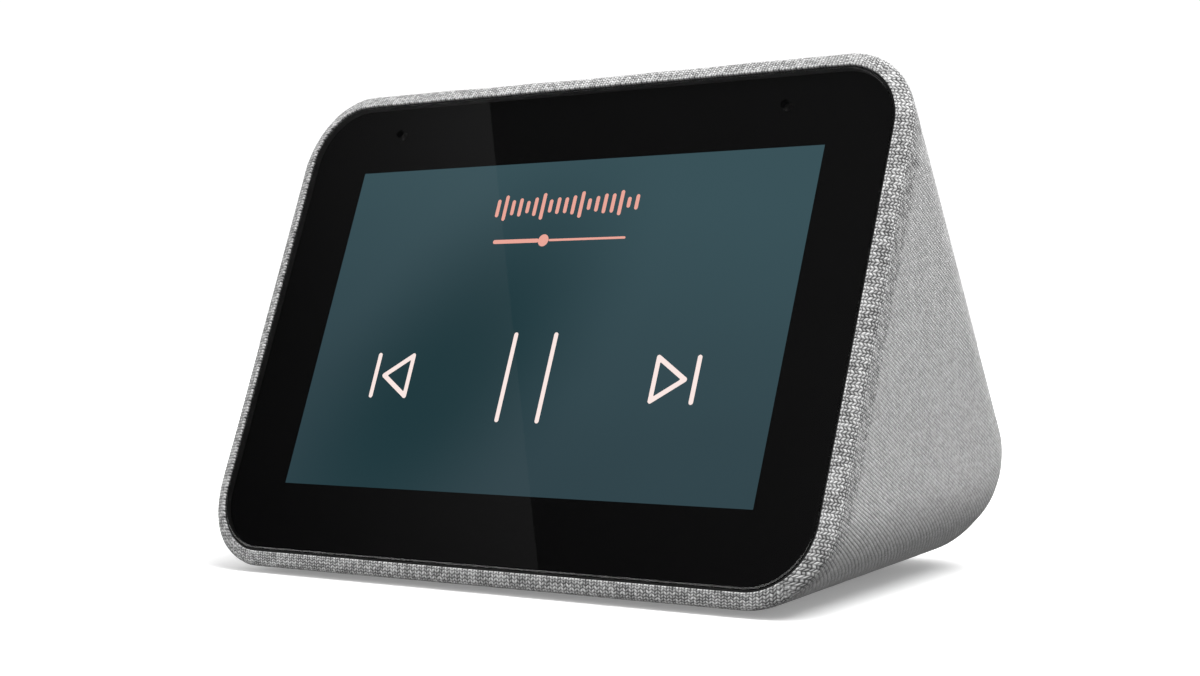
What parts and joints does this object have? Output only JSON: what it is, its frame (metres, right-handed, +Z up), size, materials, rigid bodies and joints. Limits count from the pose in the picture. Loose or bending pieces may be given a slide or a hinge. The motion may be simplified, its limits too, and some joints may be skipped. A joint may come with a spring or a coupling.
{
  "type": "smart display speaker",
  "caption": "Small wedge-shaped smart speaker with a tilted touch screen, knit fabric shell, volume buttons on the back slope and sockets low on the back.",
  "frame": {"origin": "on the table, under the middle of the whole object", "axes": "+X to the user's right, +Y to the back, +Z up; the face looks along -Y and leans back 20 degrees"},
  "size_m": [0.114, 0.0831, 0.0752],
  "materials": {
    "base_plastic": "moulded, fine matte",
    "black_foam": "closed cell foam",
    "black_ink": "printed black",
    "black_rubber": "smooth rubber",
    "box_plastic": "moulded",
    "button_plastic": "moulded, satin",
    "circuit_board": "green solder mask",
    "coil_copper": "enamelled copper wire",
    "cone_paper": "pressed pulp",
    "connector_plastic": "moulded",
    "contact_brass": "plated",
    "cover_glass": "polished, clear",
    "display_face": null,
    "flex_film": "amber film",
    "frame_plastic": "moulded, fine matte",
    "housing_plastic": "moulded, fine matte",
    "knit_fabric": "light grey heather knit",
    "lead_rubber": "insulated wire",
    "magnet_ceramic": "sintered",
    "port_plastic": "moulded, satin",
    "radiator_plate": "anodised",
    "screw_steel": "zinc plated",
    "sheet_steel": "pressed sheet",
    "silicone": "soft matte silicone",
    "slider_plastic": "moulded, satin",
    "socket_steel": "nickel plated",
    "spider_cloth": "treated cloth",
    "spreader_aluminium": "rolled sheet",
    "thermal_silicone": "soft pad",
    "tin_plate": "tin plated"
  },
  "bodies": {
    "casing": {"aerials": "flex_film", "backlight_tray": "sheet_steel", "base_plate": "base_plastic", "base_screws": "screw_steel", "board_screws": "screw_steel", "box_gasket": "black_foam", "button_board": "circuit_board", "chassis_plate": "sheet_steel", "chassis_screws": "screw_steel", "cone_surround": "black_rubber", "cover_glass": "cover_glass", "dc_jack": "connector_plastic", "dc_jack_pin": "contact_brass", "display_panel": "display_face", "display_ribbon": "flex_film", "driver_basket": "sheet_steel", "driver_magnet": "magnet_ceramic", "driver_screws": "screw_steel", "driver_spider": "spider_cloth", "driver_top_plate": "sheet_steel", "driver_yoke": "sheet_steel", "fabric_sleeve": "knit_fabric", "foot_ring": "silicone", "frame_screws": "screw_steel", "front_frame": "frame_plastic", "glass_gasket": "black_rubber", "glass_ink_border": "black_ink", "glass_tape": "black_foam", "heat_spreader": "spreader_aluminium", "left_radiator_surround": "black_rubber", "lid_screws": "screw_steel", "main_board": "circuit_board", "main_housing": "housing_plastic", "microphone_boards": "circuit_board", "microphone_gaskets": "black_rubber", "mute_switch": "connector_plastic", "port_board": "circuit_board", "port_panel": "port_plastic", "processor_shield": "tin_plate", "radiator_frames": "box_plastic", "radio_shield": "tin_plate", "right_radiator_surround": "black_rubber", "speaker_box": "box_plastic", "speaker_box_lid": "box_plastic", "speaker_connector": "connector_plastic", "speaker_leads": "lead_rubber", "thermal_pad": "thermal_silicone", "usb_socket": "socket_steel", "usb_tongue": "connector_plastic", "volume_bezel": "button_plastic", "volume_switches": "connector_plastic"},
    "volume_up": {"volume_up_button": "button_plastic"},
    "volume_down": {"volume_down_button": "button_plastic"},
    "mute": {"mute_slider": "slider_plastic"},
    "cone": {"speaker_cone": "cone_paper", "voice_coil": "coil_copper", "dust_cap": "cone_paper"},
    "radiator_left": {"left_radiator": "radiator_plate"},
    "radiator_right": {"right_radiator": "radiator_plate"}
  },
  "joints": [
    {"name": "volume_up_press", "type": "slide", "parent": "casing", "child": "volume_up", "axis": [0, -0.6689, -0.7433], "range_m": [0, 0.0004], "stiffness_N_per_m": 400},
    {"name": "volume_down_press", "type": "slide", "parent": "casing", "child": "volume_down", "axis": [0, -0.6689, -0.7433], "range_m": [0, 0.0004], "stiffness_N_per_m": 400},
    {"name": "mute_slide", "type": "slide", "parent": "casing", "child": "mute", "axis": [1, 0, 0], "range_m": [0, 0.002]},
    {"name": "cone_travel", "type": "slide", "parent": "casing", "child": "cone", "axis": [0, 0.6689, 0.7433], "range_m": [-0.0012, 0.0012], "stiffness_N_per_m": 900, "deforming": ["cone_surround", "driver_spider"]},
    {"name": "radiator_left_travel", "type": "slide", "parent": "casing", "child": "radiator_left", "axis": [-1, 0, 0], "range_m": [-0.0012, 0.0012], "stiffness_N_per_m": 700, "deforming": ["left_radiator_surround"]},
    {"name": "radiator_right_travel", "type": "slide", "parent": "casing", "child": "radiator_right", "axis": [1, 0, 0], "range_m": [-0.0012, 0.0012], "stiffness_N_per_m": 700, "deforming": ["right_radiator_surround"]}
  ]
}
